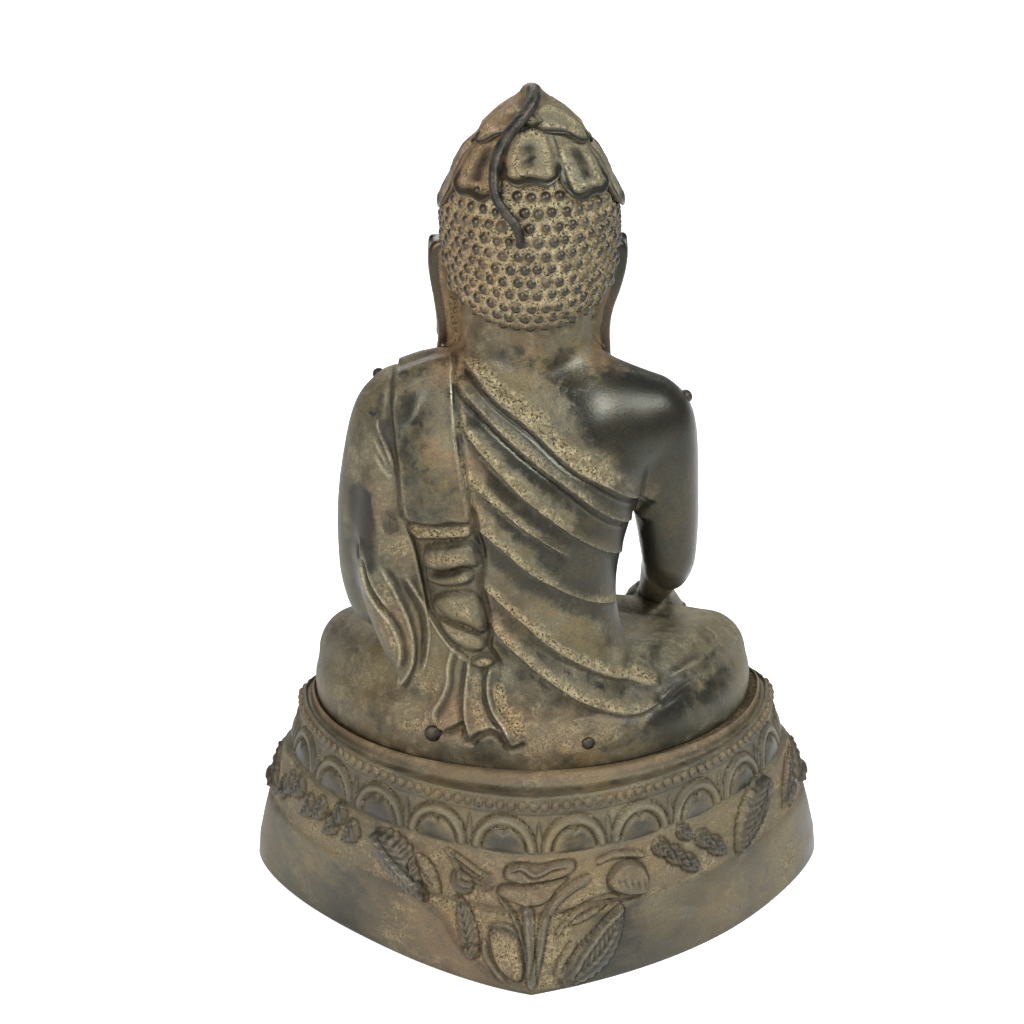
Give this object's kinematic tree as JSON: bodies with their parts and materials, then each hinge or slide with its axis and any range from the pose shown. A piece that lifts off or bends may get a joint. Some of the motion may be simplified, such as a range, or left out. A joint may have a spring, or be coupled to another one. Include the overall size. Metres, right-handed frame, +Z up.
{
  "type": "seated buddha statue",
  "caption": "Cast bronze buddha seated cross-legged on a flared lotus plinth, right hand over the knee, with a pleated robe and a leaf cap.",
  "frame": {"origin": "on the ground under the middle of the plinth's box", "axes": "+Z up, the figure faces -Y and its left is +X"},
  "size_m": [0.257, 0.18, 0.3753],
  "materials": {
    "plinth_bronze": "dusty brown patina",
    "figure_bronze": "worn dark brown-green patina",
    "pin_bronze": "near-black, rubbed"
  },
  "bodies": {
    "root": {"plinth": "plinth_bronze", "buddha_figure": "figure_bronze", "back_stud_left": "pin_bronze", "back_stud_right": "pin_bronze", "shoulder_stud_left": "pin_bronze", "shoulder_stud_right": "pin_bronze"}
  },
  "joints": []
}
